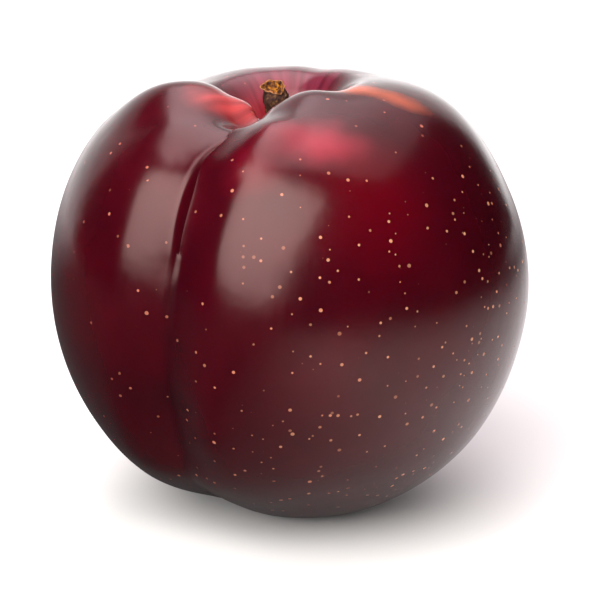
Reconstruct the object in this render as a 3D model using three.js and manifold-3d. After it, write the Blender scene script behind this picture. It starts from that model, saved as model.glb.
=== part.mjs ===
// A ripe dark-skinned plum standing on its own underside: one solid fruit with a stalk cavity and a suture,
// and the stub of woody stalk that is left in the cavity when the fruit is picked.
// Millimetres, +Z up, -Y to the front, +X to the right. The origin lies in the plane that the fruit stands
// on, under the middle of its width and depth.
import * as THREE from "three";
import { mergeVertices } from "three/addons/utils/BufferGeometryUtils.js";
import Module from "manifold-3d";

const wasm = await Module();
wasm.setup();

// ---- Driving dimensions of the fruit ----
// Heights are over the tip of the round body, and azimuths are degrees from the front towards +X.
const BODY_RADIUS = 28.6; // of the round body at its widest level, before the cheeks swell
const WIDEST_HEIGHT = 31;
const CROWN_HEIGHT = 55.7; // of the cavity's rim
const RIM_RADIUS = 11.5; // of the cavity's rim, where the crown is highest
const CAVITY_FLOOR = 47; // height of the bottom of the stalk cavity
const HEART_HEIGHT = 28; // of the point on the axis that the furrows sink towards
const STANDING_DEPTH = 0.3; // how much of the underside the flat standing spot takes away
const SUTURE_AZIMUTH = -28.5; // at the widest level
const COLUMNS = 92; // mesh columns round the fruit, the first one on the suture
const ROWS = { underside: 18, shoulder: 22, cavity: 13 }; // mesh rows of each stretch of the outline

// How the suture leaves its meridian near the cavity and near the tip: the round body from a height to a
// height turns about the axis by so many degrees, and carries its neighbours along as far as reach.
const TWISTS = {
  mouth: { from: 55, to: 60, turn: 6, reach: 6 },
  sole: { from: -1, to: 8, turn: -5, reach: 38 },
};

// The swellings that take the body out of round. Each one grips the points nearest to the line through at
// (azimuth, distance from the axis, height), moves them, and carries their neighbours along as far as reach.
const SWELLINGS = {
  rightCheek: { at: [[90, 28, 27]], move: [3.2, 0, 0], reach: 46 },
  rightShoulder: { at: [[95, 19, 51]], move: [0.5, 0, 0.7], reach: 15 },
  rightFoot: { at: [[75, 18, 9]], move: [1.3, 0, -0.6], reach: 23 },
  rightSole: { at: [[65, 12, 1]], move: [0, 0, -1.7], reach: 16 },
  leftFoot: { at: [[-45, 15, 4]], move: [-0.5, 0.2, 1], reach: 16 },
  tip: { at: [[0, 0, 0]], move: [-4, 1, 1.2], reach: 28 },
  farRim: { at: [[-165, 11, 55]], move: [0, 0, -0.6], reach: 12 },
  nearRim: { at: [[15, 8, 55]], move: [0.6, 3.2, 1.2], reach: 9 },
  rightRim: { at: [[62, 11, 55]], move: [-1.2, 0.3, 1.2], reach: 13 },
  leftShoulder: { at: [[-85, 14, 55]], move: [0, 0, 1], reach: 9 },
  leftBack: { at: [[-125, 16, 53]], move: [0, 0, -1.5], reach: 12 },
  leftRim: { at: [[-70, 9, 54]], move: [2.4, 0, 0.9], reach: 9 },
  mouthCorner: { at: [[-30, 9, 54]], move: [0.2, 0.3, -1.1], reach: 4.5 },
};

// The furrows are sunk towards the heart in passes. Each grips a mesh column, counted from the suture's, from
// a height to a height and no nearer to the axis than clear, and has a depth at that line and a reach to each
// side of it or, where a side is named, on that side of the suture only.
const FURROWS = {
  valley: { column: 0, from: 14, to: 60, clear: 9, depth: 1.3, reach: 11 },
  sole: { column: 0, from: 1, to: 20, clear: 6, depth: 0.7, reach: 8 },
  runOut: { column: 0, from: 22, to: 38, clear: 8, depth: 0.6, reach: 9 },
  rightFoot: { column: 0, from: 4, to: 32, clear: 8, depth: 0.5, reach: 6, side: "right" },
  rightFlank: { column: 0, from: 36, to: 60, clear: 16.5, depth: 1, reach: 7, side: "right" },
  rightFold: { column: 0, from: 42, to: 60, clear: 18, depth: 0.6, reach: 7, side: "right" },
  leftFlank: { column: -1, from: 36, to: 60, clear: 16.5, depth: 0.6, reach: 8, side: "left", fade: "sharp" },
  saddle: { column: COLUMNS / 2, from: 50, to: 60, clear: 7, depth: 0.3, reach: 4 },
};

// What then shapes one lobe and leaves the other.
const LOBES = {
  rightLip: {
    at: [[-27, 17.6, 51.6], [-19, 17, 52.6], [-11, 16.6, 53.3], [-3, 15.4, 54]],
    move: [-0.2, -0.3, 0.9],
    reach: 5,
    side: "right",
  },
  leftEnd: { at: [[-42, 10.5, 54]], move: [0.6, -0.3, 0], reach: 7, side: "left" },
  leftSlope: { at: [[-47, 15.5, 53]], move: [0, 0.2, -0.7], reach: 11, side: "left" },
};

// How the share by which a neighbour is carried along grows from 0 at reach to 1 at the grip.
const FADES = {
  soft: (near) => near * near * (3 - 2 * near),
  sharp: (near) => near * near,
};

// ---- Driving dimensions of the stalk stub ----
const SOCKET = { radius: 2.1, depth: 2.2 }; // the plain hole in the cavity's floor that the stub stands in
const PLAY = 0.3; // left between the stub's foot and the socket
const LEAN = { x: -0.6, y: 0.1 }; // how far the broken end stands off the foot
const STALK_SIDES = 14;
// The bark's rings from the foot up: height over the cavity's floor, and radius.
const BARK_RINGS = [
  [0.2, 1.8],
  [1.2, 1.55],
  [2.6, 1.4],
  [3.7, 1.4],
  [4.3, 1.6],
  [4.9, 1.5],
  [5.8, 1.5],
  [6.8, 1.64],
  [7.6, 1.5],
  [8.1, 1.3],
];
const GNARL = { share: 0.09, ribs: 3, twist: 1.1 }; // the bark's ribs: share of the radius, radians per mm
const BROKEN_END = { height: 8.7, radius: 1.45, wall: 0.25, pith: 0.7 }; // wall round the pith, and its depth
const END_TILT = 25; // degrees that the broken end faces towards the front
// How far the splinters rise and fall along the broken edge: so many waves, from so many radians on.
const SPLINTERS = [
  { rise: 0.15, count: 2, start: 0.6 },
  { rise: 0.15, count: 5, start: 2 },
];

const SAME_POINT = 0.005; // mesh points closer than this are one
const TRACE_STEP = 0.5; // between the places at which a line is gripped
const GROUND = { span: 100, depth: 20 }; // the block that cuts the standing spot

// A point given by its azimuth, its distance from the axis and its height.
function polar(azimuth, radius, height) {
  const angle = THREE.MathUtils.degToRad(azimuth);
  return new THREE.Vector3(radius * Math.sin(angle), -radius * Math.cos(angle), height);
}

// Moves the gripped points and carries their neighbours along, by a share that fades out at reach.
function pull(points, gripped, { reach, fade = "soft" }, moved) {
  const held = gripped.map((point) => point.clone());
  for (const point of points) {
    const distance = held.reduce((least, place) => Math.min(least, place.distanceTo(point)), reach);
    point.lerp(moved(point), FADES[fade](1 - distance / reach));
  }
}

// The places along the line through some corners, a step apart.
function trace(corners) {
  return corners.flatMap((corner, i) => {
    const next = corners[i + 1] ?? corner;
    const steps = Math.max(1, Math.round(corner.distanceTo(next) / TRACE_STEP));
    return Array.from({ length: steps }, (_, step) => corner.clone().lerp(next, step / steps));
  });
}

function twist(points, { from, to, turn, ...pass }) {
  const axis = new THREE.Vector3(0, 0, 1);
  const rings = points.filter((p) => p.z >= from && p.z <= to);
  pull(points, rings, pass, (p) => p.clone().applyAxisAngle(axis, THREE.MathUtils.degToRad(turn)));
}

function swell(points, { at, move, ...pass }) {
  const nearest = (place) =>
    points.reduce((best, p) => (p.distanceTo(place) < best.distanceTo(place) ? p : best));
  const gripped = new Set(trace(at.map((corner) => polar(...corner))).map(nearest));
  pull(points, [...gripped], pass, (p) => p.clone().add(new THREE.Vector3(...move)));
}

function furrow(points, line, { from, to, clear, depth, ...pass }) {
  const heart = new THREE.Vector3(0, 0, HEART_HEIGHT);
  const gripped = line.filter((p) => p.z >= from && p.z <= to && Math.hypot(p.x, p.y) >= clear);
  pull(points, gripped, pass, (p) => p.clone().lerp(heart, depth / BODY_RADIUS));
}

// The body's half outline: from the tip out to the widest level, over the rim and down into the cavity.
function outline() {
  const at = ([radius, height]) => new THREE.Vector2(radius, height);
  const curve = (...handles) => new THREE.CubicBezierCurve(...handles.map(at));
  const widest = [BODY_RADIUS, WIDEST_HEIGHT];
  const rim = [RIM_RADIUS, CROWN_HEIGHT];
  const underside = curve([0, 0], [14.5, 0], [BODY_RADIUS, 13.5], widest);
  const shoulder = curve(widest, [BODY_RADIUS, 45], [21, CROWN_HEIGHT], rim);
  const cavity = curve(rim, [6.5, CROWN_HEIGHT], [5.5, CAVITY_FLOOR], [0, CAVITY_FLOOR]);
  return [
    ...underside.getPoints(ROWS.underside),
    ...shoulder.getPoints(ROWS.shoulder).slice(1),
    ...cavity.getPoints(ROWS.cavity).slice(1),
  ];
}

// The geometry with its shared points merged, which leaves it closed.
function closed(geometry) {
  return mergeVertices(geometry.deleteAttribute("normal").deleteAttribute("uv"), SAME_POINT);
}

// The whole fruit before its standing spot and socket are cut, and the middle of its cavity's floor.
function body() {
  const turned = new THREE.LatheGeometry(outline(), COLUMNS, THREE.MathUtils.degToRad(SUTURE_AZIMUTH));
  const geometry = closed(turned.rotateX(Math.PI / 2));
  const position = geometry.getAttribute("position");
  const points = [];
  for (let i = 0; i < position.count; i++) points.push(new THREE.Vector3().fromBufferAttribute(position, i));

  const fromAxis = (p) => Math.hypot(p.x, p.y);
  const floor = points.find((p) => fromAxis(p) < SAME_POINT && p.z > HEART_HEIGHT);
  const columnAt = (column) => {
    const azimuth = SUTURE_AZIMUTH + (column / COLUMNS) * 360;
    return points.filter((p) => p.distanceTo(polar(azimuth, fromAxis(p), p.z)) < SAME_POINT);
  };
  const lines = Object.values(FURROWS).map(({ column }) => columnAt(column));
  const suture = polar(SUTURE_AZIMUTH, 1, 0);
  const offset = (p) => suture.x * p.y - suture.y * p.x;
  const lobes = {
    both: points,
    left: points.filter((p) => offset(p) < -SAME_POINT),
    right: points.filter((p) => offset(p) > -SAME_POINT),
  };

  for (const bend of Object.values(TWISTS)) twist(points, bend);
  for (const swelling of Object.values(SWELLINGS)) swell(points, swelling);
  Object.values(FURROWS).forEach(({ side = "both", ...pass }, i) => furrow(lobes[side], lines[i], pass));
  for (const { side, ...swelling } of Object.values(LOBES)) swell(lobes[side], swelling);

  points.forEach((p, i) => position.setXYZ(i, p.x, p.y, p.z));
  geometry.computeBoundingBox();
  const { min, max } = geometry.boundingBox;
  const home = new THREE.Vector3(-(min.x + max.x) / 2, -(min.y + max.y) / 2, -min.z - STANDING_DEPTH);
  return { geometry: geometry.translate(...home), seat: floor.clone().add(home) };
}

function solidOf(geometry) {
  const vertProperties = geometry.getAttribute("position").array;
  return new wasm.Manifold(new wasm.Mesh({ numProp: 3, vertProperties, triVerts: geometry.index.array }));
}

function geometryOf(solid) {
  const { vertProperties, triVerts } = solid.getMesh();
  const geometry = new THREE.BufferGeometry();
  geometry.setAttribute("position", new THREE.BufferAttribute(vertProperties, 3));
  return geometry.setIndex(new THREE.BufferAttribute(triVerts, 1));
}

function fruit({ geometry, seat }) {
  const ground = new THREE.BoxGeometry(GROUND.span, GROUND.span, GROUND.depth);
  ground.translate(0, 0, -GROUND.depth / 2);
  const socket = new THREE.CylinderGeometry(SOCKET.radius, SOCKET.radius, 2 * SOCKET.depth, 2 * STALK_SIDES);
  socket.rotateX(Math.PI / 2).translate(...seat);
  return geometryOf(solidOf(geometry).subtract(solidOf(closed(ground))).subtract(solidOf(closed(socket))));
}

// The stub: a skin of rings from its foot up the bark, over the splintered edge and down into the pith.
function stalk({ seat }) {
  const { height: edge, radius, wall, pith } = BROKEN_END;
  const rings = [
    { height: PLAY - SOCKET.depth, radius: SOCKET.radius - PLAY, gnarled: 0, ragged: 0 },
    ...BARK_RINGS.map(([height, radius], i) => ({ height, radius, gnarled: i > 0 ? 1 : 0, ragged: 0 })),
    { height: edge, radius, gnarled: 1, ragged: 1 },
    { height: edge, radius: radius - wall, gnarled: 1, ragged: 0.7 },
    { height: edge - pith, radius: radius - 3 * wall, gnarled: 0, ragged: 0.2 },
  ];
  const middle = (height) => {
    const share = Math.max(0, height) / edge;
    return seat.clone().add(new THREE.Vector3(LEAN.x * share, LEAN.y * share, height));
  };
  const points = rings.flatMap(({ height, radius, gnarled, ragged }) =>
    Array.from({ length: STALK_SIDES }, (_, side) => {
      const turn = (side / STALK_SIDES) * 2 * Math.PI;
      const rib = 1 + gnarled * GNARL.share * Math.sin(GNARL.ribs * turn + GNARL.twist * height);
      const tilted = Math.tan(THREE.MathUtils.degToRad(END_TILT)) * radius * Math.sin(turn);
      const rise = SPLINTERS.reduce((sum, s) => sum + s.rise * Math.sin(s.count * turn + s.start), tilted);
      return middle(height).add(
        new THREE.Vector3(radius * rib * Math.cos(turn), radius * rib * Math.sin(turn), ragged * rise));
    }));
  const foot = points.push(middle(rings[0].height)) - 1;
  const hollow = points.push(middle(rings.at(-1).height)) - 1;

  const index = [];
  const lastRing = (rings.length - 1) * STALK_SIDES;
  for (let side = 0; side < STALK_SIDES; side++) {
    const next = (side + 1) % STALK_SIDES;
    index.push(foot, next, side);
    for (let low = 0; low < lastRing; low += STALK_SIDES) {
      const high = low + STALK_SIDES;
      index.push(low + side, low + next, high + next, low + side, high + next, high + side);
    }
    index.push(hollow, lastRing + side, lastRing + next);
  }
  return new THREE.BufferGeometry().setFromPoints(points).setIndex(index);
}

function part(name, geometry, color, roughness) {
  const mesh = new THREE.Mesh(geometry, new THREE.MeshStandardMaterial({ color, roughness, metalness: 0 }));
  mesh.name = name;
  return mesh;
}

const grown = body();
const plum = new THREE.Group();
plum.add(part("fruit", fruit(grown), 0x4f0a16, 0.25));
plum.add(part("stalk", stalk(grown), 0x6b4a2c, 0.9));

export default plum;
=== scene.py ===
"""A ripe dark plum with a stub of stalk: its looks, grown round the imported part.

Everything is in metres, +Z up and -Y to the front, in the part's own frame. Run as a script it builds the
fruit, the stalk and the studio in turn. The sizes and colours that a user would change are properties.
"""

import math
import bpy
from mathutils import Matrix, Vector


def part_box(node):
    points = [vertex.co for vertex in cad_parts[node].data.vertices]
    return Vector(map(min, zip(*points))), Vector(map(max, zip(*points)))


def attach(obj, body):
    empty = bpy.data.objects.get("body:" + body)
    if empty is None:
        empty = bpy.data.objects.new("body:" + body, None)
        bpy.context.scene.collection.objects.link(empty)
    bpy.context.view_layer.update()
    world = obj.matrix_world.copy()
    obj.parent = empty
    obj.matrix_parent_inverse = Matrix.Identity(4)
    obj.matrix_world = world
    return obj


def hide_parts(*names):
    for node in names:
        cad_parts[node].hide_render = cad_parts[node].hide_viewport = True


bl_info = {
    "name": "Plum",
    "version": (1, 0, 0),
    "blender": (4, 5, 0),
    "location": "View3D > Sidebar > Plum",
    "description": "Grows a ripe plum with its stub of stalk and sets it in a plain studio",
    "category": "Add Mesh",
}

from contextlib import contextmanager

import bmesh
import bpy
from bpy.props import FloatProperty, FloatVectorProperty, PointerProperty
from mathutils import Quaternion, Vector

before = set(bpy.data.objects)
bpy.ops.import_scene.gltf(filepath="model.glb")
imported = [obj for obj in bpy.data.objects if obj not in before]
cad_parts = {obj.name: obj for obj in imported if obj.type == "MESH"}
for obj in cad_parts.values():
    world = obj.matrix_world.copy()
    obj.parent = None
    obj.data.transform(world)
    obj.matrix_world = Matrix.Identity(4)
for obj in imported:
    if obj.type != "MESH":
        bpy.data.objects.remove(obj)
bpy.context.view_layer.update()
FRUIT_LOW, FRUIT_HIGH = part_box("fruit")

MM = 0.001
TOUCHING = 0.01 * MM  # a vertex nearer than this to another one, to a meridian or to a plane counts as on it
SUTURE_AZIMUTH = -28.5  # degrees from the front towards +X, as every azimuth here
NODE_SPACING = 190  # between neighbours in the node editor

# A colour Mix node's sockets go by number, because several of them share each name.
SHARE, FIRST, SECOND = 0, 6, 7
MIXED = 2


# ---- Colours, nodes and modelling moves that every piece uses ----


def linear(hex_colour):
    """An sRGB hex colour as linear red, green and blue."""
    channels = [int(hex_colour[start : start + 2], 16) / 255 for start in (1, 3, 5)]
    return [c / 12.92 if c <= 0.04045 else ((c + 0.055) / 1.055) ** 2.4 for c in channels]


def colour_property(name, hex_colour, description):
    default = linear(hex_colour)
    return FloatVectorProperty(
        name=name, description=description, subtype="COLOR", size=3, min=0, max=1, default=default
    )


def length_property(name, millimetres, description):
    default = millimetres * MM
    return FloatProperty(
        name=name, description=description, subtype="DISTANCE", unit="LENGTH", default=default
    )


def add_node(tree, kind, inputs=None, **settings):
    """Adds a node with its settings, and gives each named or numbered input a value or a link.

    A colour is given as red, green and blue. A link comes from another node's output, or from a node as a
    whole, which stands for its first output.
    """
    node = tree.nodes.new(kind)
    node.location = (NODE_SPACING * len(tree.nodes), 0)
    for name, value in settings.items():
        setattr(node, name, value)
    for key, value in (inputs or {}).items():
        socket = node.inputs[key]
        if isinstance(value, bpy.types.Node):
            tree.links.new(value.outputs[0], socket)
        elif isinstance(value, bpy.types.NodeSocket):
            tree.links.new(value, socket)
        else:
            socket.default_value = (*value, 1) if socket.type == "RGBA" else value
    return node


def span(start, end, low=0, high=1):
    """The inputs that make a Map Range node go from low to high between start and end."""
    return {"From Min": start, "From Max": end, "To Min": low, "To Max": high}


def fresh_material(name):
    """An empty material, its node tree, and the mapped place on the piece in millimetres."""
    material = bpy.data.materials.new(name)
    material.use_nodes = True
    tree = material.node_tree
    tree.nodes.clear()
    place = add_node(tree, "ShaderNodeTexCoord").outputs["Object"]
    scaled = add_node(tree, "ShaderNodeVectorMath", {0: place, 1: (1 / MM,) * 3}, operation="MULTIPLY")
    return material, tree, scaled.outputs[0]


def coat(tree, look):
    """Ends a material's nodes in a shader of this look."""
    shader = add_node(tree, "ShaderNodeBsdfPrincipled", look)
    add_node(tree, "ShaderNodeOutputMaterial", {"Surface": shader})


def polar(azimuth, radius, height):
    """The point at an azimuth, a distance from the axis and a height, both in millimetres."""
    angle = math.radians(azimuth)
    return Vector((radius * math.sin(angle), -radius * math.cos(angle), height)) * MM


def deselect_all():
    bpy.ops.object.select_all(action="DESELECT")


def vertices_of(obj):
    """In edit mode, the mesh's vertices as bmesh holds them."""
    mesh = bmesh.from_edit_mesh(obj.data)
    mesh.verts.ensure_lookup_table()
    return mesh.verts


def choose(obj, indices):
    """In edit mode, selects these vertices and nothing else."""
    bpy.ops.mesh.select_all(action="DESELECT")
    vertices = vertices_of(obj)
    for index in indices:
        vertices[index].select_set(True)
    bmesh.from_edit_mesh(obj.data).select_flush_mode()
    bmesh.update_edit_mesh(obj.data)


@contextmanager
def hidden(obj, indices):
    """In edit mode, hides these vertices meanwhile, so that no move carries them along."""
    choose(obj, indices)
    bpy.ops.mesh.hide(unselected=False)
    yield
    bpy.ops.mesh.reveal(select=False)


def nearest(obj, place):
    """In edit mode, the index of the vertex nearest to a place."""
    return min(vertices_of(obj), key=lambda vertex: (vertex.co - place).length_squared).index


def carrying(reach):
    """The settings with which a transform carries along what lies within reach, in millimetres."""
    return {
        "use_proportional_edit": True,
        "proportional_edit_falloff": "SMOOTH",
        "proportional_size": reach * MM,
    }


def finish_modifier(obj, kind, **settings):
    """Adds a modifier to the object and applies it."""
    modifier = obj.modifiers.new(kind.title(), kind)
    for name, value in settings.items():
        setattr(modifier, name, value)
    deselect_all()
    obj.select_set(True)
    bpy.context.view_layer.objects.active = obj
    bpy.ops.object.modifier_apply(modifier=modifier.name)


# ---- The fruit ----

# The half outline's corners from the tip to the cavity's floor: distance from the axis and height, in
# millimetres, of the corner and of its handles before and after it.
OUTLINE = [
    {"corner": (0, 0), "before": (0, 0), "after": (14.5, 0)},
    {"corner": (28.6, 31), "before": (28.6, 13.5), "after": (28.6, 45)},
    {"corner": (11.5, 55.7), "before": (21, 55.7), "after": (6.5, 55.7)},
    {"corner": (0, 47), "before": (5.5, 47), "after": (0, 47)},
]
OUTLINE_STEPS = 32  # mesh rows of each stretch between two corners
COLUMNS = 180  # mesh columns round the fruit, the first one on the suture
HEART = Vector((0, 0, 28 * MM))  # the point inside the fruit that its furrows sink towards
BODY_RADIUS = 28.6  # of the widest level, before the cheeks swell
PATH_STEP = 0.5  # between the places that are gripped along a line, in millimetres

# How the suture leaves its meridian near the cavity and near the tip: the mesh between two heights is turned
# round the axis by some degrees and carries its neighbours along, before anything is pulled out of round.
TWISTS = [
    {"heights": (55, 60), "turn": 6, "reach": 6},
    {"heights": (-1, 8), "turn": -5, "reach": 38},
]

# What takes the body out of round: the place that is gripped (azimuth, distance from the axis, height), how
# far it moves and how far its neighbours follow, in millimetres.
SWELLINGS = {
    "right cheek": {"at": (90, 28, 27), "move": (3.2, 0, 0), "reach": 46},
    "right shoulder": {"at": (95, 19, 51), "move": (0.5, 0, 0.7), "reach": 15},
    "right foot": {"at": (75, 18, 9), "move": (1.3, 0, -0.6), "reach": 23},
    "right sole": {"at": (65, 12, 1), "move": (0, 0, -1.7), "reach": 16},
    "left foot": {"at": (-45, 15, 4), "move": (-0.5, 0.2, 1), "reach": 16},
    "tip": {"at": (0, 0, 0), "move": (-4, 1, 1.2), "reach": 28},
    "far rim": {"at": (-165, 11, 55), "move": (0, 0, -0.6), "reach": 12},
    "near rim": {"at": (15, 8, 55), "move": (0.6, 3.2, 1.2), "reach": 9},
    "right rim": {"at": (62, 11, 55), "move": (-1.2, 0.3, 1.2), "reach": 13},
    "left shoulder": {"at": (-85, 14, 55), "move": (0, 0, 1.2), "reach": 9},
    "left back": {"at": (-125, 16, 53), "move": (0, 0, -1.5), "reach": 12},
    "left rim": {"at": (-70, 9, 54), "move": (2.4, 0, 0.65), "reach": 9},
    "notch": {"at": (-30, 10, 54.3), "move": (0.2, 0.3, -1.7), "reach": 5},
}

# The passes that sink a furrow along a mesh column, counted from the suture's: between two heights and no
# nearer to the axis than clear, to a depth at the column, reaching so far to both sides or to one.
FURROWS = [
    {"column": 0, "side": "both", "heights": (14, 60), "clear": 9, "depth": 1.5, "reach": 9},
    {"column": 0, "side": "both", "heights": (1, 20), "clear": 6, "depth": 0.7, "reach": 8},
    {"column": 0, "side": "both", "heights": (22, 38), "clear": 8, "depth": 0.6, "reach": 9},
    {"column": 0, "side": "right", "heights": (4, 32), "clear": 8, "depth": 0.5, "reach": 6},
    {"column": -1, "side": "left", "heights": (4, 32), "clear": 8, "depth": 0.35, "reach": 4},
    {"column": 0, "side": "both", "heights": (5, 40), "clear": 8, "depth": 0.2, "reach": 2},
    {"column": 0, "side": "right", "heights": (36, 60), "clear": 17.5, "depth": 0.6, "reach": 6},
    {"column": 0, "side": "right", "heights": (46, 60), "clear": 18, "depth": 0.6, "reach": 9},
    {"column": 90, "side": "both", "heights": (50, 60), "clear": 7, "depth": 0.3, "reach": 4},
]

# What then shapes the cavity's mouth, pulled as the swellings are but on one lobe only, or on both: the
# right lobe's lip, the left lobe's edge, the slope in the left of the cavity, and the left lobe's front.
LOBES = [
    {
        "side": "right",
        "at": [(-25, 18.4, 51.2), (-19, 17.8, 52), (-11, 17, 53), (-3, 15.6, 54)],
        "move": (-0.2, -0.3, 0.7),
        "reach": 5.2,
    },
    {"side": "left", "at": (-42, 10.5, 54), "move": (0.6, -0.3, 0), "reach": 7},
    {"side": "both", "at": (-62, 4.5, 50.5), "move": (1, -0.5, 2.6), "reach": 6},
    {"side": "left", "at": (-47, 15.5, 53), "move": (0, 0.2, -0.7), "reach": 11},
]

# Where the bottom of the suture is a sharp fold, and how far round the left lobe's edge is drawn over it, in
# degrees, with so many millimetres of its neighbours.
FOLD = {"heights": (40, 60), "clear": 13, "turn": 0.4, "reach": 3}

# Painted shade along the suture's crease and just to its right: how dark the skin is painted at each mesh
# column, and the heights between which it comes (the first two) and goes (the last two).
SUTURE_PAINTED_SHADES = {-1: 0.15, 0: 0.75, 1: 0.6, 2: 0.45, 3: 0.3, 4: 0.15}
SUTURE_HEIGHTS = (2, 12, 38, 46)


def turned_body():
    """The half outline drawn as a curve and spun round the axis, from the suture's meridian on."""
    deselect_all()
    bpy.ops.curve.primitive_bezier_curve_add()
    curve = bpy.context.object
    curve.name = "fruit_skin"
    curve.data.name = "fruit_skin"
    spline = curve.data.splines[0]
    spline.bezier_points.add(len(OUTLINE) - len(spline.bezier_points))
    for point, corner in zip(spline.bezier_points, OUTLINE):
        point.handle_left_type = point.handle_right_type = "FREE"
        point.co = polar(SUTURE_AZIMUTH, *corner["corner"])
        point.handle_left = polar(SUTURE_AZIMUTH, *corner["before"])
        point.handle_right = polar(SUTURE_AZIMUTH, *corner["after"])
    spline.resolution_u = OUTLINE_STEPS
    curve.data.resolution_u = OUTLINE_STEPS
    bpy.ops.object.convert(target="MESH")
    bpy.ops.object.mode_set(mode="EDIT")
    bpy.ops.mesh.select_all(action="SELECT")
    bpy.ops.mesh.spin(steps=COLUMNS, angle=2 * math.pi, center=(0, 0, 0), axis=(0, 0, 1))
    bpy.ops.mesh.select_all(action="SELECT")
    bpy.ops.mesh.remove_doubles(threshold=TOUCHING)
    bpy.ops.mesh.normals_make_consistent(inside=False)
    return bpy.context.object


def swell(obj, at, move, reach):
    """Moves the skin at a place, or along the line between several places, and its neighbours with it."""
    corners = [polar(*corner) for corner in (at if isinstance(at, list) else [at])]
    places = corners[-1:]
    for start, end in zip(corners, corners[1:]):
        steps = max(1, round((end - start).length / (PATH_STEP * MM)))
        places += [start.lerp(end, step / steps) for step in range(steps)]
    choose(obj, {nearest(obj, place) for place in places})
    bpy.ops.transform.translate(value=Vector(move) * MM, **carrying(reach))


def column_of(obj, number):
    """In edit mode, the round body's vertices on one mesh column, counted from the suture's."""
    direction = polar(SUTURE_AZIMUTH + number * 360 / COLUMNS, 1, 0).normalized()
    return [
        vertex.index
        for vertex in vertices_of(obj)
        if (vertex.co.xy - direction.xy * vertex.co.xy.length).length < TOUCHING
    ]


def halves(obj):
    """In edit mode, the round body's vertices to the left and to the right of the suture's plane."""
    direction = polar(SUTURE_AZIMUTH, 1, 0).normalized()
    offsets = {vertex.index: direction.xy.cross(vertex.co.xy) for vertex in vertices_of(obj)}
    left = [index for index, offset in offsets.items() if offset < -TOUCHING]
    right = [index for index, offset in offsets.items() if offset > TOUCHING]
    return left, right


def stretch_of(obj, line, heights, clear=0):
    """In edit mode, the part of a line between two heights and no nearer to the axis than clear."""
    low, high = (height * MM for height in heights)
    vertices = vertices_of(obj)
    return [i for i in line if low <= vertices[i].co.z <= high and vertices[i].co.xy.length >= clear * MM]


def turn(obj, indices, degrees, reach):
    """In edit mode, turns these vertices round the axis, towards +X at the front, with their neighbours."""
    choose(obj, indices)
    bpy.ops.transform.rotate(
        value=-math.radians(degrees), orient_axis="Z", center_override=(0, 0, 0), **carrying(reach)
    )


def sink_furrow(obj, line, furrow):
    """In edit mode, sinks a stretch of a line of vertices towards the heart, with its neighbours."""
    choose(obj, stretch_of(obj, line, furrow["heights"], furrow["clear"]))
    share = 1 - furrow["depth"] / BODY_RADIUS
    bpy.ops.transform.resize(
        value=(share, share, share), center_override=HEART, **carrying(furrow["reach"])
    )


def sharpen_fold(obj, line, edge, still):
    """In edit mode, draws the left lobe's edge over the fold in the suture and keeps its bottom sharp."""
    with hidden(obj, still):
        turn(obj, stretch_of(obj, edge, FOLD["heights"], FOLD["clear"]), FOLD["turn"], FOLD["reach"])
    choose(obj, stretch_of(obj, line, FOLD["heights"], FOLD["clear"]))
    bpy.ops.mesh.mark_sharp()
    bpy.ops.transform.edge_crease(value=1)


def shape_body(obj):
    """In edit mode, takes the round body out of round. Returns its mesh columns near the suture by number."""
    numbers = {*SUTURE_PAINTED_SHADES, *(furrow["column"] for furrow in FURROWS)}
    columns = {number: column_of(obj, number) for number in numbers}
    left, right = halves(obj)
    # What keeps still while one lobe is shaped. The bottom of the suture goes with the right lobe.
    still = {"both": (), "right": left, "left": right + columns[0]}

    for bend in TWISTS:
        band = stretch_of(obj, range(len(vertices_of(obj))), bend["heights"])
        turn(obj, band, bend["turn"], bend["reach"])
    for swelling in SWELLINGS.values():
        swell(obj, **swelling)
    for furrow in FURROWS:
        with hidden(obj, still[furrow["side"]]):
            sink_furrow(obj, columns[furrow["column"]], furrow)
    for lobe in LOBES:
        with hidden(obj, still[lobe["side"]]):
            swell(obj, lobe["at"], lobe["move"], lobe["reach"])
    sharpen_fold(obj, columns[0], columns[-1], still["left"])
    return columns


def paint_suture_shade(obj, columns):
    """Marks the skin along the suture, for its material to darken it with painted shade."""
    shade = obj.data.attributes.new("suture", "FLOAT", "POINT")
    low, rise, fall, high = SUTURE_HEIGHTS
    for number, share in SUTURE_PAINTED_SHADES.items():
        for index in columns[number]:
            height = obj.data.vertices[index].co.z / MM
            ends = min((height - low) / (rise - low), (high - height) / (high - fall), 1)
            shade.data[index].value = share * max(ends, 0)


def fit_to_packed_fruit(obj):
    """In edit mode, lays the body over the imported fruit's box and slices its standing spot off level."""
    corners = [vertex.co for vertex in vertices_of(obj)]
    low = Vector(min(corner[axis] for corner in corners) for axis in range(3))
    high = Vector(max(corner[axis] for corner in corners) for axis in range(3))
    floor = FRUIT_LOW - Vector((0, 0, bpy.context.scene.plum_fruit.standing_depth))
    size = FRUIT_HIGH - floor
    scale = [size[axis] / (high - low)[axis] for axis in range(3)]
    bpy.ops.mesh.select_all(action="SELECT")
    bpy.ops.transform.translate(value=floor - low)
    bpy.ops.transform.resize(value=scale, center_override=floor)
    bpy.ops.mesh.bisect(
        plane_co=(0, 0, 0), plane_no=(0, 0, 1), clear_inner=True, use_fill=True, threshold=TOUCHING / 10
    )
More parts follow.
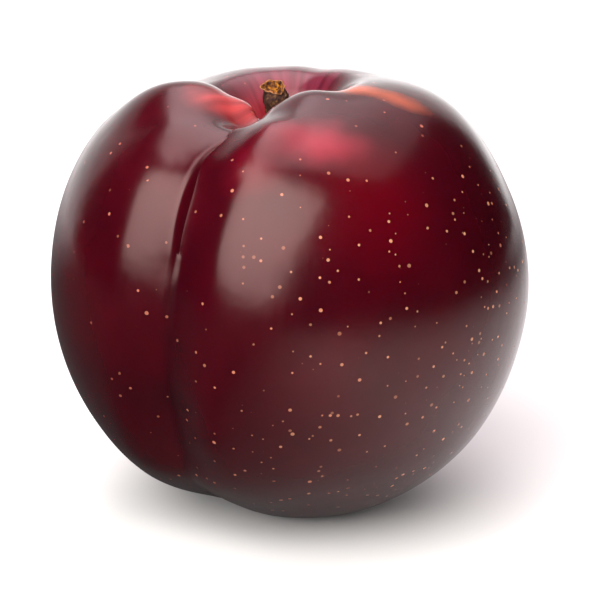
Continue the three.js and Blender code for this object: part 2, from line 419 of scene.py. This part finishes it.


# Where the skin is paler than its dark ground, most of all on the cavity's walls and rim. In the cavity and
# on the left and right rims this is painted light: a painted glow of light through the thin skin in the
# cavity, a painted lit band along the left rim's crest and a painted orange highlight along the right rim.
# Elsewhere the flesh shows through. Each patch has its middle and half sizes in millimetres, its colour, how
# strongly it shows at its middle, and whether the fibres that run up out of the cavity streak it.
FLUSHES_AND_PAINTED_LIGHT = {
    # Painted light: the glow of light through the thin skin in the cavity.
    "cavity": {"at": (-2, 1, 50), "half": (11, 10, 6), "colour": "#9C1C28", "share": 0.7, "streaked": True},
    "far wall": {"at": (0, 9, 54), "half": (12, 6, 5), "colour": "#8E3A50", "share": 0.3, "streaked": True},
    # Painted light: a lit band along the left rim's crest.
    "left rim": {
        "at": (-6.5, -4.5, 55),
        "half": (6, 6, 3.5),
        "colour": "#A83434",
        "share": 0.65,
        "streaked": True,
    },
    "near rim": {"at": (3.5, -17.5, 53), "half": (7, 4.5, 4.5), "colour": "#B02C40", "share": 0.4},
    # Painted light: an orange highlight where back light glows through the right rim.
    "right rim": {"at": (9.5, -5.2, 55.3), "half": (9.5, 2.6, 3), "colour": "#E06A40", "share": 0.5},
    "right cheek": {"at": (9, -21, 46), "half": (11, 10, 12), "colour": "#7A0010", "share": 0.2},
    "lip": {"at": (-4, -20, 49.5), "half": (5, 5, 5), "colour": "#800A22", "share": 0.25},
}
TINT_PATCH_FADE = (1.15, 0.1)  # how far out a patch, flush or painted light, starts to show and is full, in its half sizes
DRIFT = {"Scale": 1 / 9, "Detail": 4}  # the slow change of the ground colour, about 9 mm across
SWAY = (6, 6, 6)  # how far that drift pushes the outlines of the flushes and painted lights about, in millimetres
STREAKS = (9, 0.06, 1)  # how densely the fibres lie, per radian round the axis and per millimetre up
# The painted shade along the suture's crease: its colour, and how deep it goes.
SUTURE_PAINTED_SHADE_COLOUR = "#100106"
SUTURE_PAINTED_SHADE_DEPTH = 0.55  # how far towards that colour the darkest shade goes
SMALLEST_SPECK = 0.12  # radius in millimetres
SPECK_EDGE = 0.06  # how softly a speck ends, in millimetres
DIM_SPECK = "#8A4038"
BUFF = (2.2, 2.2, 0.12)  # how densely the upright marks of handling lie in the bloom, per millimetre
RELIEF = 0.06  # how high the skin's lumps stand, in millimetres


def skin_ground(tree, place, drift):
    """The skin's colour without its specks: dark and ripe stretches, flushes, painted light in the cavity and
    on its rims, and painted shade along the suture.
    """
    fruit = bpy.context.scene.plum_fruit
    ground = {SHARE: drift, FIRST: fruit.dark_colour, SECOND: fruit.ripe_colour}
    colour = add_node(tree, "ShaderNodeMix", ground, data_type="RGBA").outputs[MIXED]

    offset = add_node(
        tree, "ShaderNodeVectorMath", {0: drift.outputs["Color"], 1: (0.5,) * 3}, operation="SUBTRACT"
    )
    swayed = add_node(tree, "ShaderNodeVectorMath", {0: offset, 1: SWAY, 2: place}, operation="MULTIPLY_ADD")
    streak = fibre_streaks(tree, place)
    for tint_patch in FLUSHES_AND_PAINTED_LIGHT.values():
        colour = tinted_by_patch(tree, colour, swayed, streak, tint_patch)

    # Painted shade along the suture's crease and just to its right.
    suture = add_node(tree, "ShaderNodeAttribute", attribute_name="suture").outputs["Fac"]
    along = add_node(tree, "ShaderNodeMath", {0: suture, 1: SUTURE_PAINTED_SHADE_DEPTH}, operation="MULTIPLY")
    shade = {SHARE: along, FIRST: colour, SECOND: linear(SUTURE_PAINTED_SHADE_COLOUR)}
    return add_node(tree, "ShaderNodeMix", shade, data_type="RGBA").outputs[MIXED]


def fibre_streaks(tree, place):
    """How strongly a patch, flush or painted light, shows along the fibres that run up out of the cavity:
    half to a third more.
    """
    axes = add_node(tree, "ShaderNodeSeparateXYZ", {0: place})
    around = add_node(
        tree, "ShaderNodeMath", {0: axes.outputs["Y"], 1: axes.outputs["X"]}, operation="ARCTAN2"
    )
    fibre = add_node(tree, "ShaderNodeCombineXYZ", {"X": around, "Y": axes.outputs["Z"]})
    stretched = add_node(tree, "ShaderNodeVectorMath", {0: fibre, 1: STREAKS}, operation="MULTIPLY")
    fibres = add_node(tree, "ShaderNodeTexNoise", {"Vector": stretched, "Scale": 1, "Detail": 3})
    return add_node(tree, "ShaderNodeMapRange", {"Value": fibres, **span(0.35, 0.65, 0.5, 1.3)})


def tinted_by_patch(tree, colour, place, streak, tint_patch):
    """The colour with one patch laid over it: a flush of the skin, or a patch of painted light in the cavity
    and on its rims.
    """
    away = add_node(tree, "ShaderNodeVectorMath", {0: place, 1: tint_patch["at"]}, operation="SUBTRACT")
    squeezed = add_node(tree, "ShaderNodeVectorMath", {0: away, 1: tint_patch["half"]}, operation="DIVIDE")
    reach = add_node(tree, "ShaderNodeVectorMath", {0: squeezed}, operation="LENGTH").outputs["Value"]
    fade = {"Value": reach, **span(*TINT_PATCH_FADE, 0, tint_patch["share"])}
    share = add_node(tree, "ShaderNodeMapRange", fade, interpolation_type="SMOOTHSTEP")
    if tint_patch.get("streaked"):
        share = add_node(tree, "ShaderNodeMath", {0: share, 1: streak}, operation="MULTIPLY")
    tint = {SHARE: share, FIRST: colour, SECOND: linear(tint_patch["colour"])}
    return add_node(tree, "ShaderNodeMix", tint, data_type="RGBA").outputs[MIXED]


def specks(tree, place):
    """How much of a speck there is at a place, and its colour.

    Each cell of a pattern draws by chance whether it has a speck, how wide it is and how pale. They crowd
    towards the right cheek and thin out on the top, and where they are few they are dim.
    """
    fruit = bpy.context.scene.plum_fruit
    spacing = fruit.speck_spacing / MM
    cells = add_node(tree, "ShaderNodeTexVoronoi", {"Vector": place, "Scale": 1 / spacing})
    chance = add_node(tree, "ShaderNodeSeparateColor", {"Color": cells.outputs["Color"]})

    # The chance of a speck goes by the place across the fruit and below its top, in millimetres.
    axes = add_node(tree, "ShaderNodeSeparateXYZ", {0: place})
    rightward = add_node(
        tree, "ShaderNodeMapRange", {"Value": axes.outputs["X"], **span(-26, 20, 0.12, 0.65)}
    )
    below_top = add_node(tree, "ShaderNodeMapRange", {"Value": axes.outputs["Z"], **span(44, 53, 1, 0.2)})
    crowd = add_node(tree, "ShaderNodeMath", {0: rightward, 1: below_top}, operation="MULTIPLY")
    present = add_node(tree, "ShaderNodeMath", {0: chance.outputs["Red"], 1: crowd}, operation="LESS_THAN")

    radii = span(0, 1, SMALLEST_SPECK / spacing, fruit.speck_radius / MM / spacing)
    radius = add_node(tree, "ShaderNodeMapRange", {"Value": chance.outputs["Green"], **radii})
    inside = add_node(
        tree, "ShaderNodeMath", {0: radius, 1: cells.outputs["Distance"]}, operation="SUBTRACT"
    )
    fade = {"Value": inside, **span(0, SPECK_EDGE / spacing)}
    edge = add_node(tree, "ShaderNodeMapRange", fade, interpolation_type="SMOOTHSTEP")
    pale = add_node(tree, "ShaderNodeMapRange", {"Value": chance.outputs["Blue"], **span(0, 1, 0.3, 1)})
    strength = add_node(tree, "ShaderNodeMath", {0: pale, 1: present}, operation="MULTIPLY")
    share = add_node(tree, "ShaderNodeMath", {0: edge, 1: strength}, operation="MULTIPLY")

    tones = {SHARE: crowd, FIRST: linear(DIM_SPECK), SECOND: fruit.speck_colour}
    tone = add_node(tree, "ShaderNodeMix", tones, data_type="RGBA").outputs[MIXED]
    return share, tone


def skin_relief(tree, place, speck):
    """The skin's unevenness: lumps 5 mm across, a faint grain of 0.7 mm, and slightly raised specks."""
    lumps = add_node(tree, "ShaderNodeTexNoise", {"Vector": place, "Scale": 1 / 5, "Detail": 2})
    grain = add_node(tree, "ShaderNodeTexNoise", {"Vector": place, "Scale": 1 / 0.7, "Detail": 2})
    height = lumps
    for bumps, share in ((grain, 0.05), (speck, 0.12)):
        height = add_node(tree, "ShaderNodeMath", {0: bumps, 1: share, 2: height}, operation="MULTIPLY_ADD")
    return add_node(tree, "ShaderNodeBump", {"Height": height, "Strength": 1, "Distance": RELIEF * MM})


def skin_material():
    """Plum skin: thin glossy wax over deep red pigment, with the flesh showing through where it is pale and
    painted light in the cavity and on its rims.

    Its gloss keeps soft-edged, slightly streaked reflections, where the bloom has been rubbed in handling.
    The pale specks are the pores that the skin breathes through.
    """
    material, tree, place = fresh_material("waxed_plum_skin")
    drift = add_node(tree, "ShaderNodeTexNoise", {"Vector": place, **DRIFT})
    speck, speck_tone = specks(tree, place)
    colours = {SHARE: speck, FIRST: skin_ground(tree, place, drift), SECOND: speck_tone}
    speckled = add_node(tree, "ShaderNodeMix", colours, data_type="RGBA")

    # Where the bloom has been rubbed off, the wax shines a little more.
    buffed = add_node(tree, "ShaderNodeVectorMath", {0: place, 1: BUFF}, operation="MULTIPLY")
    bloom = add_node(tree, "ShaderNodeTexNoise", {"Vector": buffed, "Scale": 1, "Detail": 3})
    roughness = add_node(tree, "ShaderNodeMapRange", {"Value": bloom, **span(0.3, 0.7, 0.17, 0.21)})

    look = {
        "Base Color": speckled.outputs[MIXED],
        "Roughness": roughness,
        "IOR": 1.4,
        "Specular Tint": linear("#FFDCD6"),
        "Subsurface Weight": 0.3,
        "Subsurface Radius": (3.0, 0.5, 0.35),
        "Subsurface Scale": 1 * MM,
        "Normal": skin_relief(tree, place, speck),
    }
    coat(tree, look)
    return material


class PlumFruitSettings(bpy.types.PropertyGroup):
    """Sizes and colours of the fruit"""

    standing_depth: length_property(
        "Standing Depth", 0.3, "How much the flat standing spot takes off the underside"
    )
    speck_spacing: length_property("Speck Spacing", 1.15, "Mean spacing of the pale specks' cells")
    speck_radius: length_property("Speck Radius", 0.28, "Radius of the largest specks")
    dark_colour: colour_property("Dark Skin", "#200207", "The darkest skin")
    ripe_colour: colour_property("Ripe Skin", "#3E030D", "Skin between the darkest stretches")
    speck_colour: colour_property("Specks", "#D9A078", "The brightest specks")


class PLUM_OT_grow_fruit(bpy.types.Operator):
    """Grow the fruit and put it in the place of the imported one"""

    bl_idname = "plum.grow_fruit"
    bl_label = "Grow Fruit"
    bl_options = {"REGISTER", "UNDO"}

    def execute(self, context):
        fruit = turned_body()
        columns = shape_body(fruit)
        bpy.ops.object.mode_set(mode="OBJECT")
        paint_suture_shade(fruit, columns)
        finish_modifier(fruit, "SUBSURF", levels=1, render_levels=1, use_limit_surface=False)
        bpy.ops.object.mode_set(mode="EDIT")
        fit_to_packed_fruit(fruit)
        bpy.ops.object.mode_set(mode="OBJECT")
        bpy.ops.object.shade_smooth()
        fruit.data.materials.append(skin_material())
        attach(fruit, "root")
        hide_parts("fruit")
        return {"FINISHED"}


# ---- The stalk ----

# The stub's rings from its foot inside the fruit to the broken end and down into it: the ring's middle and
# radius in millimetres, its lean towards the front in degrees, and what the band up to it is made of. A
# sharp ring keeps its edge when the stub is smoothed.
STALK_SIDES = 40
STALK_RINGS = [
    {"middle": (-1.6, -0.1, 45.4), "radius": 1.2, "lean": 0, "band": "bark"},
    {"middle": (-1.6, -0.1, 46.9), "radius": 1.15, "lean": 0, "band": "bark"},
    {"middle": (-1.6, -0.1, 47.6), "radius": 1.4, "lean": 0, "band": "bark"},
    {"middle": (-1.6, -0.1, 48.3), "radius": 1.2, "lean": 0, "band": "bark"},
    {"middle": (-1.6, -0.1, 49.9), "radius": 1.2, "lean": 0, "band": "bark"},
    {"middle": (-1.65, 0, 51.6), "radius": 1.3, "lean": 0, "band": "bark"},
    {"middle": (-1.7, 0, 53.1), "radius": 1.5, "lean": 0, "band": "bark"},
    {"middle": (-1.73, 0, 54.1), "radius": 1.64, "lean": 6, "band": "bark"},
    {"middle": (-1.8, 0, 54.7), "radius": 1.5, "lean": 14, "band": "bark"},
    {"middle": (-2, 0, 55.05), "radius": 1.28, "lean": 22, "band": "bark"},
    {"middle": (-2.1, 0, 55.4), "radius": 1.4, "lean": 28, "band": "bark", "sharp": True},
    {"middle": (-2.1, 0, 55.42), "radius": 1.25, "lean": 28, "band": "torn edge", "sharp": True},
    {"middle": (-2.05, 0.1, 54.9), "radius": 0.95, "lean": 28, "band": "wood"},
    {"middle": (-2, 0.2, 54.6), "radius": 0.4, "lean": 24, "band": "wood"},
]
END = Vector(STALK_RINGS[-3]["middle"]) * MM  # the middle of the torn edge
BARK_TOP = 55.1 * MM  # above this the stub is torn, with little of the bark's relief
TORN_RELIEF = 0.25  # its share there

# How the broken end was torn: the place that is gripped, by its azimuth and its distance from the end's
# middle, how far it moves and how far its neighbours follow, in millimetres.
LIP, INSIDE = 1.42, 0.9
TEARS = [
    {"at": (-84, LIP), "move": (-0.3, -0.15, 0.1), "reach": 0.7},
    {"at": (-50, LIP), "move": (0.15, 0.2, 0.1), "reach": 0.4},
    {"at": (-18, LIP), "move": (0.1, 0.45, 0.1), "reach": 0.6},
    {"at": (32, LIP), "move": (0.3, -0.42, -0.2), "reach": 0.6},
    {"at": (90, LIP), "move": (0.2, 0, 0.1), "reach": 0.4},
    {"at": (110, LIP), "move": (-0.2, -0.1, -0.1), "reach": 0.3},
    {"at": (132, LIP), "move": (0.42, 0.33, 0.45), "reach": 0.6},
    {"at": (155, LIP), "move": (0.1, 0.22, 0.3), "reach": 0.4},
    {"at": (178, LIP), "move": (0, -0.3, -0.4), "reach": 0.9},
    {"at": (-140, LIP), "move": (0.1, -0.1, -0.3), "reach": 0.8},
    {"at": (144, INSIDE), "move": (0.1, 0.1, -0.6), "reach": 0.4},
    {"at": (39, INSIDE), "move": (0.1, -0.1, -0.5), "reach": 0.4},
]

# The bark's relief, as coarse knobs with finer ones on them: how wide they are in millimetres, and what share
# of the knobs' height they have.
BARK_RELIEF = [
    {"grain": 0.9, "share": 1},
    {"grain": 0.35, "share": 0.5},
]


def ringed_stub():
    """The stub drawn up ring by ring from a disc, each band marked with what it is made of."""
    deselect_all()
    foot = STALK_RINGS[0]
    bpy.ops.mesh.primitive_circle_add(
        vertices=STALK_SIDES,
        radius=foot["radius"] * MM,
        fill_type="NGON",
        location=Vector(foot["middle"]) * MM,
    )
    stub = bpy.context.object
    stub.name = "stalk_stub"
    bpy.ops.object.transform_apply(location=True, rotation=False, scale=False)
    bands = {"bark": bark_material(), "torn edge": torn_edge_material(), "wood": split_wood_material()}
    for material in bands.values():
        stub.data.materials.append(material)
    bpy.ops.object.mode_set(mode="EDIT")
    bpy.ops.mesh.select_all(action="SELECT")
    edge = [vertex.index for vertex in vertices_of(stub)]
    for ring, last in zip(STALK_RINGS[1:], STALK_RINGS):
        middle, before = Vector(ring["middle"]) * MM, Vector(last["middle"]) * MM
        scale = ring["radius"] / last["radius"]
        nod = math.radians(ring["lean"] - last["lean"])
        bpy.ops.mesh.extrude_region_move(TRANSFORM_OT_translate={"value": middle - before})
        bpy.ops.transform.resize(value=(scale, scale, scale), center_override=middle)
        bpy.ops.transform.rotate(value=-nod, orient_axis="X", center_override=middle)
        bpy.ops.transform.edge_crease(value=1 if ring.get("sharp") else -1)
        new_edge = [vertex.index for vertex in vertices_of(stub) if vertex.select]
        choose(stub, edge + new_edge)
        stub.active_material_index = list(bands).index(ring["band"])
        bpy.ops.object.material_slot_assign()
        choose(stub, new_edge)
        edge = new_edge
    bpy.ops.mesh.poke()
    return stub


def tear_end(stub):
    """In edit mode, pulls the lip of the broken end into its corners and sinks the pits inside it."""
    for tear in TEARS:
        choose(stub, [nearest(stub, END + polar(*tear["at"], 0))])
        bpy.ops.transform.translate(value=Vector(tear["move"]) * MM, **carrying(tear["reach"]))


def roughen_bark(stub):
    """Raises the bark's knobs and cracks, and less of them on the broken end."""
    vertices = stub.data.vertices
    bark = stub.vertex_groups.new(name="bark")
    bark.add(list(range(len(vertices))), TORN_RELIEF, "REPLACE")
    bark.add([vertex.index for vertex in vertices if vertex.co.z < BARK_TOP], 1, "REPLACE")
    for relief in BARK_RELIEF:
        texture = bpy.data.textures.new("bark_relief", "CLOUDS")
        texture.noise_scale = relief["grain"] * MM
        texture.noise_depth = 1
        finish_modifier(
            stub,
            "DISPLACE",
            texture=texture,
            texture_coords="LOCAL",
            strength=relief["share"] * bpy.context.scene.plum_stalk.knob_height,
            mid_level=0.5,
            vertex_group="bark",
        )


def mottled_material(name, grain, tones, roughness):
    """Dry plant matter in patches of several tones, each as wide as its grain in millimetres."""
    material, tree, place = fresh_material(name)
    patches = add_node(
        tree, "ShaderNodeTexNoise", {"Vector": place, "Scale": 1 / grain, "Detail": 4, "Roughness": 0.65}
    )
    ramp = add_node(tree, "ShaderNodeValToRGB", {"Fac": patches})
    stops = ramp.color_ramp.elements
    while len(stops) < len(tones):
        stops.new(0.5)
    for stop, (position, tone) in zip(stops, tones):
        stop.position = position
        stop.color = (*tone, 1)
    bump = add_node(tree, "ShaderNodeBump", {"Height": patches, "Strength": 1, "Distance": 0.12 * MM})
    coat(tree, {"Base Color": ramp, "Roughness": roughness, "IOR": 1.3, "Normal": bump})
    return material


def bark_material():
    """Dry stalk bark: rough and dull, nearly black in its cracks, with grey-tan scurf on its knobs."""
    stalk = bpy.context.scene.plum_stalk
    crack, bark, ridge, scurf = linear("#0E0504"), stalk.bark_colour, linear("#3A2010"), stalk.scurf_colour
    tones = [(0.34, crack), (0.46, bark), (0.56, ridge), (0.66, scurf)]
    return mottled_material("stalk_bark", 0.7, tones, 0.8)


def torn_edge_material():
    """The torn edge of the dry bark: pale, thin and fibrous."""
    tones = [(0.35, linear("#4A280C")), (0.6, bpy.context.scene.plum_stalk.edge_colour)]
    return mottled_material("torn_bark_edge", 0.4, tones, 0.75)


def split_wood_material():
    """The dry wood laid bare where the stalk broke off: golden-brown fibres with dark pits."""
    wood = bpy.context.scene.plum_stalk.wood_colour
    tones = [(0.41, linear("#1E0A02")), (0.48, linear("#4A2406")), (0.55, wood), (0.64, linear("#A06A18"))]
    return mottled_material("split_dry_wood", 0.45, tones, 0.8)


class PlumStalkSettings(bpy.types.PropertyGroup):
    """Sizes and colours of the stub of stalk"""

    knob_height: length_property("Knob Height", 0.45, "How far the bark's knobs stand up")
    bark_colour: colour_property("Bark", "#2A120C", "The dark bark")
    scurf_colour: colour_property("Scurf", "#64482C", "The scurf on the bark's knobs")
    wood_colour: colour_property("Wood", "#744208", "The bare wood of the broken end")
    edge_colour: colour_property("Torn Edge", "#8A5A34", "The torn edge of the bark")


class PLUM_OT_raise_stalk(bpy.types.Operator):
    """Raise the broken stub of the stalk out of the cavity"""

    bl_idname = "plum.raise_stalk"
    bl_label = "Raise Stalk"
    bl_options = {"REGISTER", "UNDO"}

    def execute(self, context):
        stub = ringed_stub()
        tear_end(stub)
        bpy.ops.mesh.select_all(action="SELECT")
        bpy.ops.mesh.normals_make_consistent(inside=False)
        bpy.ops.object.mode_set(mode="OBJECT")
        finish_modifier(stub, "SUBSURF", levels=2, render_levels=2, use_limit_surface=False)
        roughen_bark(stub)
        bpy.ops.object.shade_smooth()
        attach(stub, "root")
        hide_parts("stalk")
        return {"FINISHED"}


# ---- The stage: floor, lights and camera ----

SIGHT_TARGET = Vector((1.27, 0, 27.5)) * MM
SIGHT_ELEVATION = 18  # degrees
SIGHT_DISTANCE = 450 * MM
SIGHT_WIDTH = 75.96 * MM  # what the view takes in at the target
SENSOR = 36  # the camera's film width in millimetres

# In metres, all far wider than the view.
FLOOR_SIZE = 8
CARD_SIZE = 0.6
CARD_DROP = 0.1 * MM  # how far the card lies under the floor
BACKDROP_RADIUS = 4

# The three soft panels of light: where each one hangs as seen from the fruit (azimuth and elevation in
# degrees, distance in metres), which way it faces and how far it rolls in degrees, its width and height in
# metres, and its radiance at its hot spot. The hot spot's place from the middle, and its spread, over which
# the light falls to half, are in half widths and half heights. The rim is the outer share of the half size
# over which the panel fades out.
LIGHTS = {
    "key": {
        "place": (-26, 37, 0.6),
        "facing": (-26, 37),
        "roll": 10,
        "size": (0.95, 0.92),
        "radiance": 9,
        "hot_spot": (0.1, 0.3),
        "spread": (1.5, 1.5),
        "rim": 0.28,
        "colour": "#FFFCFA",
    },
    "overhead": {
        "place": (151, 60, 0.69),
        "facing": (180, 89.9),
        "roll": 0,
        "size": (0.8, 1.0),
        "radiance": 6,
        "hot_spot": (0.7, 0.4),
        "spread": (0.7, 1),
        "rim": 0.08,
        "colour": "#FFF2F8",
    },
    "back": {
        "place": (-170, 13, 0.7),
        "facing": (-170, 0),
        "roll": 0,
        "size": (1.5, 1.05),
        "radiance": 2.4,
        "hot_spot": (-0.5, -0.5),
        "spread": (1, 0.8),
        "rim": 0.3,
        "colour": "#FFFFFF",
    },
}
SQUARENESS = 8  # of a panel's outline: 2 would make it an ellipse, and more brings it nearer to a rectangle


def heading(azimuth, elevation):
    """The direction, of length 1, at an azimuth and an elevation."""
    angle, rise = math.radians(azimuth), math.radians(elevation)
    return Vector((math.sin(angle) * math.cos(rise), -math.cos(angle) * math.cos(rise), math.sin(rise)))


def add_panel(name, place, facing, roll, size, radiance, hot_spot, spread, rim, colour):
    """A rectangular soft light that is brightest at its hot spot and fades at its rounded rim."""
    deselect_all()
    azimuth, elevation, distance = place
    bpy.ops.object.light_add(type="AREA", location=SIGHT_TARGET + heading(azimuth, elevation) * distance)
    light = bpy.context.object
    light.name = name
    light.rotation_mode = "QUATERNION"
    rolled = Quaternion((0, 0, 1), math.radians(-roll))
    light.rotation_quaternion = heading(*facing).to_track_quat("Z", "Y") @ rolled
    light.data.shape = "RECTANGLE"
    light.data.size, light.data.size_y = size
    light.data.energy = radiance * math.pi * size[0] * size[1]
    light.data.color = linear(colour)
    light.data.use_nodes = True
    shade_panel(light.data.node_tree, hot_spot, spread, rim)


def shade_panel(tree, hot_spot, spread, rim):
    """Makes a panel's light fall off round its hot spot and towards its rim."""
    tree.nodes.clear()
    across = add_node(tree, "ShaderNodeNewGeometry").outputs["Parametric"]
    centred = add_node(
        tree, "ShaderNodeVectorMath", {0: across, 1: (2, 2, 0), 2: (-1, -1, 0)}, operation="MULTIPLY_ADD"
    )
    away = add_node(tree, "ShaderNodeVectorMath", {0: centred, 1: (*hot_spot, 0)}, operation="SUBTRACT")
    relative = add_node(tree, "ShaderNodeVectorMath", {0: away, 1: (*spread, 1)}, operation="DIVIDE")
    squared = add_node(tree, "ShaderNodeVectorMath", {0: relative, 1: relative}, operation="DOT_PRODUCT")
    divisor = add_node(tree, "ShaderNodeMath", {0: squared.outputs["Value"], 1: 1}, operation="ADD")
    falloff = add_node(tree, "ShaderNodeMath", {0: 1, 1: divisor}, operation="DIVIDE")

    axes = add_node(tree, "ShaderNodeSeparateXYZ", {0: centred})
    powers = []
    for axis in ("X", "Y"):
        offset = add_node(tree, "ShaderNodeMath", {0: axes.outputs[axis]}, operation="ABSOLUTE")
        powers.append(add_node(tree, "ShaderNodeMath", {0: offset, 1: SQUARENESS}, operation="POWER"))
    total = add_node(tree, "ShaderNodeMath", dict(enumerate(powers)), operation="ADD")
    outwards = add_node(tree, "ShaderNodeMath", {0: total, 1: 1 / SQUARENESS}, operation="POWER")
    fade = {"Value": outwards, **span(1 - rim, 1, 1, 0)}
    edge = add_node(tree, "ShaderNodeMapRange", fade, interpolation_type="SMOOTHSTEP")
    strength = add_node(tree, "ShaderNodeMath", {0: falloff, 1: edge}, operation="MULTIPLY")
    glow = add_node(tree, "ShaderNodeEmission", {"Strength": strength})
    add_node(tree, "ShaderNodeOutputLight", {"Surface": glow})


def matt_look(colour):
    """Paper and card scatter all their light: they have no gloss at all."""
    return {"Base Color": colour, "Roughness": 0.95, "Specular IOR Level": 0}


def paper_material():
    """Matt white paper: even and without gloss, so that it takes the soft shadow and no reflection."""
    material, tree, _ = fresh_material("matt_white_paper")
    coat(tree, matt_look(linear("#D0CFCE")))
    return material


def painted_light_card_material():
    """Matt grey card: the fruit's underside mirrors it softly.

    Its tone is painted light and shade: pale on the right and behind the fruit, where a floor would be lit,
    black on the left, where it would lie in shade, and darker away from the fruit, as a table between a lit
    side and a dark one looks.
    """
    material, tree, place = fresh_material("card_painted_light_and_shade")
    axes = add_node(tree, "ShaderNodeSeparateXYZ", {0: place})
    away = add_node(tree, "ShaderNodeVectorMath", {0: place}, operation="LENGTH").outputs["Value"]
    fades = [
        {"Value": axes.outputs["X"], **span(-30, 42)},
        {"Value": away, **span(240, 60)},
        {"Value": axes.outputs["Y"], **span(80, 320)},
    ]
    right, near, behind = (
        add_node(tree, "ShaderNodeMapRange", fade, interpolation_type="SMOOTHSTEP") for fade in fades
    )
    front = add_node(tree, "ShaderNodeMath", {0: right, 1: near}, operation="MULTIPLY")
    share = add_node(tree, "ShaderNodeMath", {0: front, 1: behind}, operation="MAXIMUM")
    # Painted light and shade: black where the floor would lie in shade, pale where it would be lit.
    tones = {SHARE: share, FIRST: linear("#383838"), SECOND: linear("#DADADA")}
    tone = add_node(tree, "ShaderNodeMix", tones, data_type="RGBA").outputs[MIXED]
    coat(tree, matt_look(tone))
    return material


def backdrop_material():
    """A white sweep of cloth, evenly lit."""
    material, tree, _ = fresh_material("white_cloth_sweep")
    glow = add_node(tree, "ShaderNodeEmission", {"Color": (1, 1, 1), "Strength": 1})
    add_node(tree, "ShaderNodeOutputMaterial", {"Surface": glow})
    return material


def dressed_piece(name, material, in_view):
    """Names and covers the stage piece just added. Either the camera sees it, or the fruit mirrors it."""
    piece = bpy.context.object
    piece.name = name
    piece.data.materials.append(material)
    piece.visible_camera = in_view
    piece.visible_glossy = piece.visible_diffuse = not in_view
    piece.visible_shadow = False
    return piece


def aim_camera():
    """The camera in front of the fruit, a little above it."""
    sight = heading(0, SIGHT_ELEVATION)
    bpy.ops.object.camera_add(location=SIGHT_TARGET + sight * SIGHT_DISTANCE)
    camera = bpy.context.object
    camera.rotation_mode = "QUATERNION"
    camera.rotation_quaternion = sight.to_track_quat("Z", "Y")
    camera.data.sensor_width = SENSOR
    camera.data.lens = SENSOR * SIGHT_DISTANCE / SIGHT_WIDTH
    camera.data.clip_start, camera.data.clip_end = 10 * MM, 100
    bpy.context.scene.camera = camera


class PLUM_OT_set_stage(bpy.types.Operator):
    """Lay the floor, hang the lights and aim the camera"""

    bl_idname = "plum.set_stage"
    bl_label = "Set Stage"
    bl_options = {"REGISTER", "UNDO"}

    def execute(self, context):
        deselect_all()
        bpy.ops.mesh.primitive_plane_add(size=FLOOR_SIZE, location=(0, 0, 0))
        floor = dressed_piece("floor", paper_material(), in_view=True)
        # A card under the floor, hidden from the camera, painted with the floor's light and shade for the
        # fruit to mirror.
        bpy.ops.mesh.primitive_plane_add(size=CARD_SIZE, location=(0, 0, -CARD_DROP))
        card = dressed_piece("reflector_card", painted_light_card_material(), in_view=False)
        bpy.ops.mesh.primitive_uv_sphere_add(segments=48, ring_count=24, radius=BACKDROP_RADIUS)
        backdrop = dressed_piece("backdrop", backdrop_material(), in_view=True)
        for name, light in LIGHTS.items():
            add_panel(name, **light)
        aim_camera()
        world = bpy.data.worlds.new("dark_studio")
        world.use_nodes = True
        world.node_tree.nodes["Background"].inputs["Color"].default_value = (*linear("#101010"), 1)
        context.scene.world = world
        context.scene.view_settings.view_transform = "Standard"
        return {"FINISHED"}


# ---- The add-on's panel, and the script ----


class PLUM_PT_sidebar(bpy.types.Panel):
    """The plum's operators and settings"""

    bl_idname = "PLUM_PT_sidebar"
    bl_label = "Plum"
    bl_space_type = "VIEW_3D"
    bl_region_type = "UI"
    bl_category = "Plum"

    def draw(self, context):
        for operator in (PLUM_OT_grow_fruit, PLUM_OT_raise_stalk, PLUM_OT_set_stage):
            self.layout.operator(operator.bl_idname)
        for name, group in SETTINGS.items():
            for setting in group.__annotations__:
                self.layout.prop(getattr(context.scene, name), setting)


SETTINGS = {"plum_fruit": PlumFruitSettings, "plum_stalk": PlumStalkSettings}
CLASSES = (
    *SETTINGS.values(),
    PLUM_OT_grow_fruit,
    PLUM_OT_raise_stalk,
    PLUM_OT_set_stage,
    PLUM_PT_sidebar,
)


def register():
    for cls in CLASSES:
        bpy.utils.register_class(cls)
    for name, group in SETTINGS.items():
        setattr(bpy.types.Scene, name, PointerProperty(type=group))


def unregister():
    for name in SETTINGS:
        delattr(bpy.types.Scene, name)
    for cls in reversed(CLASSES):
        bpy.utils.unregister_class(cls)


def main():
    register()
    bpy.ops.plum.grow_fruit()
    bpy.ops.plum.raise_stalk()
    bpy.ops.plum.set_stage()


if __name__ == "__main__":
    main()
